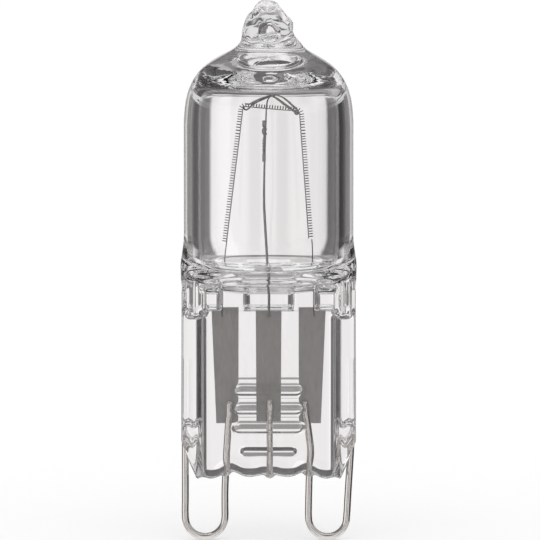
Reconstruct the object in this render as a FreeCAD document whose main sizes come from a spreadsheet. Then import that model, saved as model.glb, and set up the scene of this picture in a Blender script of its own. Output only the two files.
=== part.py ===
import FreeCAD, Part
import math
import os
import re
import Sketcher

# Halogen capsule lamp with two wire loops. Millimetres and degrees.
# +Z runs up the lamp axis, +X along the width of the flat seal, and -Y is the front.
# The origin lies between the two loops, level with their lowest point.

os.makedirs("parts", exist_ok=True)
V = FreeCAD.Vector
doc = FreeCAD.newDocument("halogen_capsule")

SIZES = {
    # Overall height and the round tube
    "overall_height": 43.0,
    "tube_radius": 6.70,
    "tube_wall": 1.10,
    "tube_foot_level": 23.6,
    "bulge_over": 0.08,
    "bulge_level": 21.9,
    # Dome: a shoulder arc, then a cone up to the sealed-off exhaust tip
    "dome_arc_radius": 3.8,
    "dome_cone_angle": 32.0,
    "tip_height": 3.54,
    "tip_base_radius": 2.61,
    "tip_foot_radius": 2.12,
    "tip_foot_height": 0.45,
    "tip_flank_arc": 3.5,
    "tip_crown_radius": 1.38,
    "tip_crown_rise": 0.90,
    "bubble_radius": 0.78,
    "bubble_drop": 2.5,
    # Cavity
    "cavity_floor_level": 22.46,
    "cavity_floor_corner": 1.45,
    "cavity_crown_radius": 2.2,
    # Pinched seal: two thick side rails with a thinner web between them
    "seal_half_width": 6.92,
    "seal_swell_level": 20.6,
    "ledge_outer_level": 22.9,
    "ledge_inner_level": 20.7,
    "ledge_foot_run": 0.6,
    "rail_half_depth": 2.2,
    "rail_width": 1.32,
    "rail_slope_run": 0.58,
    "web_half_depth": 1.3,
    "recess_reach": 1.2,
    "web_top_level": 18.64,
    "channel_top_level": 20.25,
    "channel_inset": 4.12,
    "channel_width": 1.85,
    "channel_slope_run": 0.35,
    # Rounded block at the head of each rail
    "block_half_depth": 2.6,
    "block_width": 1.3,
    "block_inset": 0.62,
    "block_foot_level": 18.1,
    # Lower edge of the seal
    "corner_level": 8.1,
    "corner_foot_inset": 1.20,
    "corner_foot_level": 5.2,
    "lobe_inset": 2.38,
    "lobe_level": 4.87,
    "notch_inset": 4.02,
    "notch_level": 5.5,
    "middle_lobe_centre": 1.5,
    "middle_lobe_level": 5.03,
    "middle_level": 5.25,
    # Raised ribs and the slot across the web
    "rib_count": 3,
    "rib_pitch": 1.52,
    "rib_first_level": 9.07,
    "rib_half_length": 2.45,
    "rib_tall": 1.0,
    "rib_point": 0.35,
    "rib_rise": 0.3,
    "slot_level": 7.23,
    "slot_tall": 0.40,
    "slot_half_length": 2.2,
    "slot_deep": 0.4,
    # Molybdenum foils, welded behind the wires
    "foil_front": 0.12,
    "foil_thick": 0.04,
    "foil_top_level": 18.7,
    "foil_foot_level": 9.4,
    "outer_foil_top_inset": 2.40,
    "outer_foil_top_width": 2.15,
    "outer_foil_foot_inset": 2.78,
    "outer_foil_foot_width": 1.75,
    "centre_foil_top_half": 1.02,
    "centre_foil_foot_half": 0.96,
    # Wire loops that plug into the holder
    "pin_wire_radius": 0.275,
    "pin_end_level": 8.3,
    "pin_foot_flat": 0.24,
    "left_leg_inset": 0.32,
    "left_loop_width": 3.14,
    "left_kink_shift": 0.06,
    "left_weld_shift": 0.41,
    "right_leg_inset": 0.33,
    "right_leg_lean": 0.41,
    "right_loop_width": 3.01,
    "right_kink_shift": -0.16,
    "right_weld_shift": 0.37,
    "left_kink_level": 5.0,
    "right_kink_level": 7.2,
    "pin_weld_level": 11.2,
    # Centre stub wire
    "stub_radius": 0.25,
    "stub_x": 0.09,
    "stub_foot_level": 4.95,
    "stub_weld_level": 11.35,
    # Filament: a coil over two tall legs and a short top span, with a thin tail at each end
    "coil_radius": 0.21,
    "coil_bend": 0.40,
    "coil_foot_level": 23.9,
    "coil_left_top": 2.18,
    "coil_left_top_drop": 1.20,
    "coil_right_top": 2.40,
    "coil_right_top_drop": 1.78,
    "tail_radius": 0.09,
    "tail_sink": 0.036,
    "tail_left_inset": 3.24,
    "tail_left_splay": 0.20,
    "tail_right_inset": 3.33,
    "tail_right_splay": 0.24,
    "tail_bend_level": 21.65,
    "tail_weld_level": 17.9,
    # Support: a thin stem from the centre foil, a weld bead and two hooks round the coil
    "stem_radius": 0.09,
    "stem_foot_x": 0.03,
    "stem_low_x": -0.36,
    "stem_low_share": 0.64,
    "stem_mid_x": -0.32,
    "stem_mid_drop": 5.72,
    "stem_high_x": -0.21,
    "stem_high_drop": 2.50,
    "stem_neck_drop": 0.60,
    "stem_exit_level": 19.97,
    "splice_radius": 0.08,
    "splice_gap": 0.01,
    "bead_x": 0.30,
    "bead_drop": 2.42,
    "bead_radius": 0.38,
    "hook_radius": 0.13,
    "hook_clearance": 0.03,
    "left_ring_x": 1.86,
    "right_ring_x": 1.86,
    "hook_shoulder_x": 0.90,
    "hook_start_run": 0.10,
}

# The dome's levels, worked down from the top
ARC_END_R = "(tube_radius - dome_arc_radius + dome_arc_radius * sin(dome_cone_angle))"
TIP_BASE_Z = "(overall_height - tip_height)"
ARC_END_Z = "(%s - (%s - tip_base_radius) * tan(dome_cone_angle))" % (TIP_BASE_Z, ARC_END_R)
DOME_FOOT_Z = "(%s - dome_arc_radius * cos(dome_cone_angle))" % ARC_END_Z
CROWN_EDGE_R = "sqrt(tip_crown_radius ^ 2 - (tip_crown_radius - tip_crown_rise) ^ 2)"
# The cavity follows the outside at the tube's wall, up to a flat crown under the tip
BORE = "(tube_radius - tube_wall)"
BEND = "(dome_arc_radius - tube_wall)"
BEND_R = "(%s - %s + %s * sin(dome_cone_angle))" % (BORE, BEND, BEND)
BEND_Z = "(%s + %s * cos(dome_cone_angle))" % (DOME_FOOT_Z, BEND)
CROWN_Z = "(%s + (%s - cavity_crown_radius) * tan(dome_cone_angle))" % (BEND_Z, BEND_R)
# The metal at the head of the cavity hangs from the bead's level
BEAD_Z = "(%s - bead_drop)" % CROWN_Z
COIL_LEFT_Z = "(%s - coil_left_top_drop)" % BEAD_Z
COIL_RIGHT_Z = "(%s - coil_right_top_drop)" % BEAD_Z
STEM_MID_Z = "(%s - stem_mid_drop)" % BEAD_Z
STEM_HIGH_Z = "(%s - stem_high_drop)" % BEAD_Z
STEM_LOW_Z = "(stem_exit_level + stem_low_share * (%s - stem_exit_level))" % STEM_MID_Z
# Places across the seal, worked in from its edges
BULGE_R = "(seal_half_width + bulge_over)"
LEFT_LEG_X = "(seal_half_width - left_leg_inset)"
RIGHT_LEG_X = "(seal_half_width - right_leg_inset)"
FOIL_TOP_X = "(seal_half_width - outer_foil_top_inset)"
FOIL_FOOT_X = "(seal_half_width - outer_foil_foot_inset)"
TAIL_LEFT_X = "(seal_half_width - tail_left_inset)"
TAIL_RIGHT_X = "(seal_half_width - tail_right_inset)"
# The thin wires' axis stands in front of the foils, into which they are pressed a little
WIRE_PLANE = "(foil_front - tail_radius + tail_sink)"
# The hooks and the bead lie just in front of the coil
RING_RADIUS = "(coil_radius + hook_radius + hook_clearance)"
SUPPORT_PLANE = "(%s - %s)" % (WIRE_PLANE, RING_RADIUS)
# Room beyond a face for a cut that passes through it
BEYOND = "tube_wall"
FAR_OUT = "(seal_half_width + tube_radius)"


# The sheet and its use

def make_sheet():
    sheet = doc.addObject("Spreadsheet::Sheet", "dimensions")
    for row, (word, value) in enumerate(SIZES.items(), start=1):
        sheet.set("A%d" % row, word)
        sheet.set("B%d" % row, str(value))
        sheet.setAlias("B%d" % row, word)
    doc.recompute()
    return sheet


def tied(text):
    """The expression with each size's name turned into a reference to the sheet."""
    return re.sub(r"[a-z_]+", lambda word: refer(word.group()), str(text))


def refer(word):
    return "dimensions." + word if word in SIZES else word


def size_of(text):
    return float(sheet.evalExpression(tied(text)))


sheet = make_sheet()


# Sketches

def new_body(name):
    body = doc.addObject("PartDesign::Body", name)
    body.Label = name
    return body


def new_sketch(body, name, role, lift="0"):
    sketch = body.newObject("Sketcher::SketchObject", name)
    plane = next(item for item in body.Origin.OriginFeatures if item.Role == role)
    sketch.AttachmentSupport = (plane, [""])
    sketch.MapMode = "FlatFace"
    sketch.setExpression("AttachmentOffset.Base.z", tied(lift))
    return sketch


def hold_point(sketch, item, place, corner):
    """Ties one point of a sketch item to a pair of expressions."""
    for kind, across, text in (("DistanceX", -2, corner[0]), ("DistanceY", -1, corner[1])):
        if str(text) == "0":
            sketch.addConstraint(Sketcher.Constraint("PointOnObject", item, place, across))
        else:
            fact = Sketcher.Constraint(kind, -1, 1, item, place, size_of(text))
            index = sketch.addConstraint(fact)
            sketch.setExpression("Constraints[%d]" % index, tied(text))


def hold_size(sketch, kind, item, text):
    index = sketch.addConstraint(Sketcher.Constraint(kind, item, size_of(text)))
    sketch.setExpression("Constraints[%d]" % index, tied(text))


def arc_between(start, end, radius):
    """The short arc from start to end; a positive radius turns left on the way."""
    chord = end - start
    rise = math.sqrt(radius ** 2 - (chord.Length / 2) ** 2)
    left = V(-chord.y, chord.x, 0).normalize()
    centre = (start + end) / 2 + left * math.copysign(rise, radius)
    first, last = (start, end) if radius > 0 else (end, start)
    angles = [math.atan2(point.y - centre.y, point.x - centre.x) for point in (first, last)]
    return Part.ArcOfCircle(Part.Circle(centre, V(0, 0, 1), abs(radius)), *angles)


def outline(sketch, corners, arcs=None):
    """A closed outline through the corners; arcs gives the radius of the edges that are round."""
    arcs = arcs or {}
    points = [V(size_of(across), size_of(up), 0) for across, up in corners]
    ends = []
    for index, corner in enumerate(corners):
        start, end = points[index], points[(index + 1) % len(points)]
        if index in arcs:
            radius = size_of(arcs[index])
            item = sketch.addGeometry(arc_between(start, end, radius), False)
            ends.append((item, 1, 2) if radius > 0 else (item, 2, 1))
        else:
            ends.append((sketch.addGeometry(Part.LineSegment(start, end), False), 1, 2))
    for index, (item, first, last) in enumerate(ends):
        after, after_first, _ = ends[(index + 1) % len(ends)]
        sketch.addConstraint(Sketcher.Constraint("Coincident", item, last, after, after_first))
        hold_point(sketch, item, first, corners[index])
    for index, text in arcs.items():
        hold_size(sketch, "Radius", ends[index][0], "abs(%s)" % text)


def mirrored(corners):
    """The same closed outline on the other side of the upright axis."""
    return [("-(%s)" % across if str(across) != "0" else "0", up) for across, up in corners]


def circle(sketch, centre, radius):
    place = V(size_of(centre[0]), size_of(centre[1]), 0)
    item = sketch.addGeometry(Part.Circle(place, V(0, 0, 1), size_of(radius)), False)
    hold_point(sketch, item, 3, centre)
    hold_size(sketch, "Radius", item, radius)


def bent_path(sketch, corners, bends):
    """Straight runs through the corners; bends gives the radius of the corners that are round."""
    points = [V(size_of(across), size_of(up), 0) for across, up in corners]
    starts, stops = list(points[:-1]), list(points[1:])
    for index, text in bends.items():
        before = (points[index - 1] - points[index]).normalize()
        after = (points[index + 1] - points[index]).normalize()
        back = size_of(text) / math.tan(before.getAngle(after) / 2)
        stops[index - 1] = points[index] + before * back
        starts[index] = points[index] + after * back
    runs = [sketch.addGeometry(Part.LineSegment(*pair), False) for pair in zip(starts, stops)]
    hold_point(sketch, runs[0], 1, corners[0])
    hold_point(sketch, runs[-1], 2, corners[-1])
    for index in range(1, len(corners) - 1):
        if index in bends:
            round_corner(sketch, runs[index - 1], runs[index], corners[index], bends[index],
                         (stops[index - 1], starts[index]))
        else:
            sharp = Sketcher.Constraint("Coincident", runs[index - 1], 2, runs[index], 1)
            sketch.addConstraint(sharp)
            hold_point(sketch, runs[index], 1, corners[index])
    return ["Edge%d" % number for number in range(1, len(runs) + len(bends) + 1)]


def round_corner(sketch, run, following, corner, text, touches):
    """An arc that touches two runs, whose lines meet at the corner."""
    place = V(size_of(corner[0]), size_of(corner[1]), 0)
    marker = sketch.addGeometry(Part.Point(place), True)
    hold_point(sketch, marker, 1, corner)
    for line in (run, following):
        sketch.addConstraint(Sketcher.Constraint("PointOnObject", marker, 1, line))
    inward = (touches[0] - place).cross(touches[1] - place).z
    radius = math.copysign(size_of(text), -inward)
    arc = sketch.addGeometry(arc_between(touches[0], touches[1], radius), False)
    first, last = (1, 2) if radius > 0 else (2, 1)
    sketch.addConstraint(Sketcher.Constraint("Tangent", run, 2, arc, first))
    sketch.addConstraint(Sketcher.Constraint("Tangent", arc, last, following, 1))
    hold_size(sketch, "Radius", arc, text)


# Features

def turn(body, name, sketch, kind="PartDesign::Revolution"):
    feature = body.newObject(kind, name)
    feature.Profile = sketch
    feature.ReferenceAxis = (sketch, ["V_Axis"])
    feature.Angle = 360
    return feature


def extrude(body, name, sketch, length, both_ways=False, flip=False, kind="PartDesign::Pad"):
    feature = body.newObject(kind, name)
    feature.Profile = sketch
    feature.setExpression("Length", tied(length))
    feature.SideType = "Symmetric" if both_ways else "One side"
    feature.Reversed = flip
    return feature


def cut_through(body, name, sketch, length, both_ways=False, flip=False):
    return extrude(body, name, sketch, length, both_ways, flip, "PartDesign::Pocket")


def wire(name, corners, bends, radius, plane, upright=True, body=None):
    """A round wire along a bent path in an upright plane, given by its place along Y."""
    body = body or new_body(name)
    path = new_sketch(body, name + "_path", "XZ_Plane", "-(%s)" % plane)
    edges = bent_path(path, corners, bends)
    first_x, first_z = corners[0]
    if upright:
        section = new_sketch(body, name + "_section", "XY_Plane", first_z)
        circle(section, (first_x, plane), radius)
    else:
        section = new_sketch(body, name + "_section", "YZ_Plane", first_x)
        circle(section, (plane, first_z), radius)
    doc.recompute()
    pipe = body.newObject("PartDesign::AdditivePipe", name + "_pipe")
    pipe.Profile = section
    pipe.Spine = (path, edges)
    pipe.Transition = "Right corner"
    return body


def take_away(name, base, tool):
    cut = doc.addObject("Part::Cut", name)
    cut.Label = name
    cut.Base = base
    cut.Tool = tool
    return cut


def join(name, shapes):
    fusion = doc.addObject("Part::MultiFuse", name)
    fusion.Label = name
    fusion.Shapes = shapes
    return fusion


# Quartz envelope

SEAL_FOOT = "(lobe_level - %s)" % BEYOND


def blown_outside(body):
    """Tube, dome and exhaust tip, turned about the lamp axis down to below the seal."""
    sketch = new_sketch(body, "outside_profile", "XZ_Plane")
    corners = [
        ("0", SEAL_FOOT),
        ("seal_half_width", SEAL_FOOT),
        ("seal_half_width", "seal_swell_level"),
        (BULGE_R, "bulge_level"),
        ("tube_radius", "tube_foot_level"),
        ("tube_radius", DOME_FOOT_Z),
        (ARC_END_R, ARC_END_Z),
        ("tip_base_radius", TIP_BASE_Z),
        ("tip_foot_radius", TIP_BASE_Z + " + tip_foot_height"),
        (CROWN_EDGE_R, "overall_height - tip_crown_rise"),
        ("0", "overall_height"),
    ]
    outline(sketch, corners, {5: "dome_arc_radius", 8: "tip_flank_arc", 9: "tip_crown_radius"})
    turn(body, "outside", sketch)


def pinch_sides(body):
    """Pressing the tube flat leaves a sloping ledge above the seal, front and back."""
    sketch = new_sketch(body, "pinch_profile", "YZ_Plane")
    corners = [
        ("rail_half_depth", SEAL_FOOT + " - " + BEYOND),
        (FAR_OUT, SEAL_FOOT + " - " + BEYOND),
        (FAR_OUT, "ledge_outer_level + ledge_foot_run"),
        (BULGE_R, "ledge_outer_level"),
        ("rail_half_depth + ledge_foot_run", "ledge_inner_level"),
        ("rail_half_depth", "ledge_inner_level - ledge_foot_run"),
    ]
    outline(sketch, corners)
    outline(sketch, mirrored(corners))
    cut_through(body, "pinch", sketch, "2 * " + FAR_OUT, both_ways=True)


def tapered_slot(sketch, centre, half_width, slope_run, side):
    """The plan of a recess in one face of the seal, wider at its mouth than at the web.

    Its slopes run on a little beyond the rail's face, so that the cut passes through it.
    """
    mouth = "(%s + %s * recess_reach)" % (half_width, slope_run)
    deep = "%s web_half_depth" % side
    rise = "(rail_half_depth - web_half_depth) * recess_reach"
    face = "%s (web_half_depth + %s)" % (side, rise)
    corners = [
        ("%s - %s" % (centre, half_width), deep),
        ("%s - %s" % (centre, mouth), face),
        ("%s + %s" % (centre, mouth), face),
        ("%s + %s" % (centre, half_width), deep),
    ]
    outline(sketch, corners)


def press_web(body):
    """The thin web between the rails, and two channels that run up from it."""
    web = new_sketch(body, "web_plan", "XY_Plane")
    half = "(seal_half_width - rail_width - rail_slope_run)"
    for side in ("", "-"):
        tapered_slot(web, "0", half, "rail_slope_run", side)
    cut_through(body, "web", web, "web_top_level", flip=True)
    plan = new_sketch(body, "channel_plan", "XY_Plane")
    for side in ("", "-"):
        for across in ("", "-"):
            centre = across + "(seal_half_width - channel_inset)"
            tapered_slot(plan, centre, "(channel_width / 2)", "channel_slope_run", side)
    cut_through(body, "channels", plan, "channel_top_level", flip=True)


def rail_blocks(body):
    """A thicker block with a rounded lower end at the head of each rail."""
    sketch = new_sketch(body, "block_face", "XZ_Plane")
    half = "block_width / 2"
    outer = "(seal_half_width - block_inset)"
    corners = [
        (outer + " - block_width", "block_foot_level + " + half),
        (outer + " - block_width", "ledge_inner_level"),
        (outer, "ledge_inner_level"),
        (outer, "block_foot_level + " + half),
        (outer + " - " + half, "block_foot_level"),
    ]
    outline(sketch, corners, {3: "-(%s)" % half, 4: "-(%s)" % half})
    outline(sketch, mirrored(corners), {3: half, 4: half})
    extrude(body, "blocks", sketch, "2 * block_half_depth", both_ways=True)


def trim_foot(body):
    """Slanted lower corners and the uneven pressed edge between them."""
    sketch = new_sketch(body, "foot_profile", "XZ_Plane")
    low = SEAL_FOOT + " - " + BEYOND
    right = [
        ("middle_lobe_centre", "middle_lobe_level"),
        ("seal_half_width - notch_inset", "notch_level"),
        ("seal_half_width - lobe_inset", "lobe_level"),
        ("seal_half_width - corner_foot_inset", "corner_foot_level"),
        ("seal_half_width", "corner_level"),
        (FAR_OUT, "corner_level"),
        (FAR_OUT, low),
    ]
    left = mirrored(right)[::-1]
    outline(sketch, [("0", "middle_level")] + right + left)
    cut_through(body, "foot", sketch, "2 * " + FAR_OUT, both_ways=True)


def web_ribs(body):
    """Ribs with pointed ends on both faces of the web, and one slot below them."""
    sketch = new_sketch(body, "rib_face", "XZ_Plane")
    top, low = "rib_first_level + rib_tall / 2", "rib_first_level - rib_tall / 2"
    inner = "rib_half_length - rib_point"
    right = [(inner, low), ("rib_half_length", "rib_first_level"), (inner, top)]
    outline(sketch, right + mirrored(right)[::-1])
    rib = extrude(body, "rib", sketch, "2 * (web_half_depth + rib_rise)", both_ways=True)
    doc.recompute()
    ribs = body.newObject("PartDesign::LinearPattern", "ribs")
    ribs.Originals = [rib]
    ribs.Direction = (sketch, ["V_Axis"])
    ribs.setExpression("Length", tied("rib_pitch * (rib_count - 1)"))
    ribs.setExpression("Occurrences", tied("rib_count"))
    body.Tip = ribs
    plan = new_sketch(body, "slot_plan", "YZ_Plane")
    for side in ("", "-"):
        corners = [
            (side + "(web_half_depth - slot_deep)", "slot_level - slot_tall / 2"),
            (side + "(web_half_depth + slot_deep)", "slot_level - slot_tall / 2"),
            (side + "(web_half_depth + slot_deep)", "slot_level + slot_tall / 2"),
            (side + "(web_half_depth - slot_deep)", "slot_level + slot_tall / 2"),
        ]
        outline(plan, corners)
    cut_through(body, "slot", plan, "2 * slot_half_length", both_ways=True)


def hollow(body):
    """The sealed cavity, and the bubble left in the exhaust tip."""
    sketch = new_sketch(body, "cavity_profile", "XZ_Plane")
    corners = [
        ("0", "cavity_floor_level"),
        (BORE + " - cavity_floor_corner", "cavity_floor_level"),
        (BORE, "cavity_floor_level + cavity_floor_corner"),
        (BORE, DOME_FOOT_Z),
        (BEND_R, BEND_Z),
        ("cavity_crown_radius", CROWN_Z),
        ("0", CROWN_Z),
    ]
    outline(sketch, corners, {1: "cavity_floor_corner", 3: BEND})
    turn(body, "cavity", sketch, "PartDesign::Groove")
    bubble = new_sketch(body, "bubble_profile", "XZ_Plane")
    middle = "overall_height - bubble_drop"
    poles = [
        ("0", middle + " - bubble_radius"),
        ("bubble_radius", middle),
        ("0", middle + " + bubble_radius"),
    ]
    outline(bubble, poles, {0: "bubble_radius", 1: "bubble_radius"})
    turn(body, "bubble", bubble, "PartDesign::Groove")


def leg_grooves(body):
    """Open grooves in the rails' outer edges for the loops' outer ends."""
    sketch = new_sketch(body, "groove_face", "XZ_Plane")
    for sign, place in (("-", LEFT_LEG_X), ("", RIGHT_LEG_X)):
        corners = [
            (sign + place, "corner_foot_level"),
            (sign + place, "pin_end_level"),
            (sign + FAR_OUT, "pin_end_level"),
            (sign + FAR_OUT, "corner_foot_level"),
        ]
        outline(sketch, corners)
    cut_through(body, "grooves", sketch, "2 * pin_wire_radius", both_ways=True)


def glass_body():
    body = new_body("pressed_glass")
    for step in (blown_outside, pinch_sides, press_web, rail_blocks, trim_foot, web_ribs,
                 leg_grooves, hollow):
        step(body)
        doc.recompute()
    return body


# Foils

def foil(name, top, foot):
    """A thin flat strip in the middle of the seal, given by its side edges at top and foot."""
    body = new_body(name)
    sketch = new_sketch(body, name + "_face", "XZ_Plane", "-foil_front")
    corners = [
        (foot[0], "foil_foot_level"),
        (foot[1], "foil_foot_level"),
        (top[1], "foil_top_level"),
        (top[0], "foil_top_level"),
    ]
    outline(sketch, corners)
    extrude(body, name + "_strip", sketch, "foil_thick", flip=True)
    return body


def make_foils():
    top_inner = "(%s - outer_foil_top_width)" % FOIL_TOP_X
    foot_inner = "(%s - outer_foil_foot_width)" % FOIL_FOOT_X
    left = foil("foil_left", ("-" + FOIL_TOP_X, "-" + top_inner),
                ("-" + FOIL_FOOT_X, "-" + foot_inner))
    centre = foil("foil_centre", ("-centre_foil_top_half", "centre_foil_top_half"),
                  ("-centre_foil_foot_half", "centre_foil_foot_half"))
    right = foil("foil_right", (top_inner, FOIL_TOP_X), (foot_inner, FOIL_FOOT_X))
    return [left, centre, right]


def weld_space():
    """Behind the foils' front plane the wires are pressed flat."""
    box = doc.addObject("Part::Box", "weld_space")
    sizes = {
        "Length": "2 * " + FOIL_TOP_X,
        "Width": "2 * pin_wire_radius",
        "Height": "foil_top_level - foil_foot_level",
        "Placement.Base.x": "-" + FOIL_TOP_X,
        "Placement.Base.y": "foil_front",
        "Placement.Base.z": "foil_foot_level",
    }
    for name, text in sizes.items():
        box.setExpression(name, tied(text))
    return box


# Wires into the seal

def pin_loop(side, sign, leg, lean, flat_space):
    """A wire loop: down from the rail, round the foot and up through the seal to its foil."""
    outer = "(%s - %s)" % (leg, lean)
    inner = "(%s - %s_loop_width)" % (outer, side)
    corners = [
        (sign + leg, "pin_end_level"),
        (sign + outer, "pin_wire_radius"),
        (sign + inner, "pin_wire_radius"),
        ("%s(%s - %s_kink_shift)" % (sign, inner, side), side + "_kink_level"),
        ("%s(%s - %s_weld_shift)" % (sign, inner, side), "pin_weld_level"),
    ]
    bend = "(%s_loop_width - pin_foot_flat) / 2" % side
    name = "pin_loop_" + side
    round_wire = wire(name + "_wire", corners, {1: bend, 2: bend}, "pin_wire_radius", "0")
    return take_away(name, round_wire, flat_space)


def make_pins(flat_space):
    left = pin_loop("left", "-", LEFT_LEG_X, "0", flat_space)
    right = pin_loop("right", "", RIGHT_LEG_X, "right_leg_lean", flat_space)
    run = [("stub_x", "stub_foot_level"), ("stub_x", "stub_weld_level")]
    round_stub = wire("stub_wire", run, {}, "stub_radius", "0")
    return [left, right, take_away("centre_stub", round_stub, flat_space)]


# Filament

def make_filament(flat_space):
    """The coil has the outer size of its turns, as one plain round form."""
    left_foot = "-(%s - tail_left_splay)" % TAIL_LEFT_X
    right_foot = "(%s - tail_right_splay)" % TAIL_RIGHT_X
    top = [
        (left_foot, "coil_foot_level"),
        ("-coil_left_top", COIL_LEFT_Z),
        ("coil_right_top", COIL_RIGHT_Z),
        (right_foot, "coil_foot_level"),
    ]
    body = wire("filament_coil", top, {1: "coil_bend", 2: "coil_bend"}, "coil_radius", WIRE_PLANE)
    doc.recompute()
    for side, across, foot in (("left", "-" + TAIL_LEFT_X, left_foot),
                               ("right", TAIL_RIGHT_X, right_foot)):
        tail = [
            (across, "tail_weld_level"),
            (across, "tail_bend_level"),
            (foot, "coil_foot_level + coil_radius"),
        ]
        wire("tail_" + side, tail, {}, "tail_radius", WIRE_PLANE, body=body)
        doc.recompute()
    return take_away("filament", body, flat_space)


# Support

def lean_forward(body):
    """Turns a body of the stem about its weld, so that its head lies in front of the coil."""
    rise = "(%s - foil_top_level)" % BEAD_Z
    body.Placement = FreeCAD.Placement(V(0, 0, 0), FreeCAD.Rotation(V(1, 0, 0), 1))
    body.setExpression("Placement.Base.y", tied(WIRE_PLANE))
    body.setExpression("Placement.Base.z", tied("foil_top_level"))
    lean = "atan((%s - %s) / %s)" % (WIRE_PLANE, SUPPORT_PLANE, rise)
    body.setExpression("Placement.Rotation.Angle", tied(lean))


def above_weld(corners):
    return [(across, "%s - foil_top_level" % up) for across, up in corners]


def make_stem(flat_space):
    run = [
        ("stem_foot_x", "tail_weld_level"),
        ("stem_foot_x", "stem_exit_level"),
        ("stem_low_x", STEM_LOW_Z),
        ("stem_mid_x", STEM_MID_Z),
        ("stem_high_x", STEM_HIGH_Z),
        ("stem_high_x", BEAD_Z + " - stem_neck_drop"),
        ("bead_x", BEAD_Z),
    ]
    stem = wire("stem_wire", above_weld(run), {}, "stem_radius", "0")
    lean_forward(stem)
    bead = doc.addObject("Part::Sphere", "bead")
    bead.setExpression("Radius", tied("bead_radius"))
    bead.setExpression("Placement.Base.x", tied("bead_x"))
    bead.setExpression("Placement.Base.y", tied(SUPPORT_PLANE))
    bead.setExpression("Placement.Base.z", tied(BEAD_Z))
    return take_away("support_stem", join("stem_and_bead", [stem, bead]), flat_space)


def make_splice():
    """A short wire lapped beside the stem."""
    beside = " - (stem_radius + splice_radius + splice_gap)"
    run = [("stem_mid_x" + beside, STEM_MID_Z), ("stem_high_x" + beside, STEM_HIGH_Z)]
    splice = wire("stem_splice", above_weld(run), {}, "splice_radius", "0")
    lean_forward(splice)
    return splice


def span_level(across):
    """The height of the coil's sloping top span at a place along X."""
    fall = "(coil_right_top_drop - coil_left_top_drop) / (coil_left_top + coil_right_top)"
    return "(%s - (coil_left_top + (%s)) * %s)" % (COIL_LEFT_Z, across, fall)


def ring(name, across):
    """The hook's end, closed round the coil's top span."""
    torus = doc.addObject("Part::Torus", name)
    torus.Placement = FreeCAD.Placement(V(0, 0, 0), FreeCAD.Rotation(V(0, 1, 0), 90))
    torus.setExpression("Radius1", tied(RING_RADIUS))
    torus.setExpression("Radius2", tied("hook_radius"))
    torus.setExpression("Placement.Base.x", tied(across))
    torus.setExpression("Placement.Base.y", tied(WIRE_PLANE))
    torus.setExpression("Placement.Base.z", tied(span_level(across)))
    return torus


def make_hooks(stem):
    left_run = [
        ("bead_x", BEAD_Z),
        ("bead_x - hook_start_run", BEAD_Z),
        ("-left_ring_x", span_level("-left_ring_x")),
    ]
    inner_run = [
        ("bead_x", BEAD_Z),
        ("bead_x + hook_start_run", BEAD_Z),
        ("right_ring_x", span_level("right_ring_x")),
    ]
    outer_run = [
        ("bead_x", BEAD_Z),
        ("hook_shoulder_x", BEAD_Z),
        ("right_ring_x", span_level("right_ring_x") + " + " + RING_RADIUS),
    ]
    arms = {}
    for name, run in (("left_arm", left_run), ("inner_arm", inner_run), ("outer_arm", outer_run)):
        arms[name] = wire(name, run, {}, "hook_radius", SUPPORT_PLANE, upright=False)
    left_ring = ring("left_ring", "-left_ring_x")
    right_ring = ring("right_ring", "right_ring_x")
    left = join("left_hook", [arms["left_arm"], left_ring])
    right = join("right_hook", [arms["inner_arm"], arms["outer_arm"], right_ring])
    return [take_away("hook_left", left, stem), take_away("hook_right", right, stem)]


# Assembly

def check_all():
    for item in doc.Objects:
        if {"Invalid", "Error"} & set(item.State):
            raise RuntimeError("%s is %s" % (item.Label, item.State))
        cuts = ("PartDesign::Pocket", "PartDesign::Groove")
        if item.TypeId in cuts and item.Shape.Volume >= item.BaseFeature.Shape.Volume:
            raise RuntimeError("%s takes nothing away" % item.Label)


def write_parts(parts):
    for part in parts:
        shape = part.Shape
        if shape.isNull() or not shape.isValid() or len(shape.Solids) != 1:
            raise RuntimeError("%s has no single sound solid" % part.Label)
    for part in parts:
        part.Shape.exportStep("parts/%s.step" % part.Label)
        print(part.Label, round(part.Shape.Volume, 4))


glass = glass_body()
foils = make_foils()
flat_space = weld_space()
pins = make_pins(flat_space)
filament = make_filament(flat_space)
stem = make_stem(flat_space)
splice = make_splice()
hooks = make_hooks(stem)
doc.recompute()
embedded = join("embedded_metal", foils + pins + [filament, stem])
envelope = take_away("quartz_envelope", glass, embedded)
doc.recompute()
check_all()
write_parts([envelope] + foils + pins + [filament, stem, splice] + hooks)
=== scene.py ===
import math
import bmesh
import bpy
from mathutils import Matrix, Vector


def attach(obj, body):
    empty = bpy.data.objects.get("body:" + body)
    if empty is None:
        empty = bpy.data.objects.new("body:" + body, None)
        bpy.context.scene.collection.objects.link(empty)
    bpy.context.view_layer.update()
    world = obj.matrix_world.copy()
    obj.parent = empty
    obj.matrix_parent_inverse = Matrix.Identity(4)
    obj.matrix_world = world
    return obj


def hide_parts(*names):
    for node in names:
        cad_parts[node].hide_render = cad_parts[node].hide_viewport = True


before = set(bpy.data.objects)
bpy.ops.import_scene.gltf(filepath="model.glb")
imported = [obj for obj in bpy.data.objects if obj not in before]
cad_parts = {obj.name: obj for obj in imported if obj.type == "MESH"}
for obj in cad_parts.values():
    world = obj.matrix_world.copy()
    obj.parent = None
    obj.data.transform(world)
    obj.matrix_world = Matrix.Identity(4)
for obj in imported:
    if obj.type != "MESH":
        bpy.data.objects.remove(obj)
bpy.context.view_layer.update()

# Halogen capsule lamp, lit as a clear glass product on white.
# Pieces are shaped in millimetres and brought to metres at the end, in the frame's own place.
# +Z is up the lamp axis, +X along the flat seal, and -Y is the front.

MM = 0.001

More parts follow.
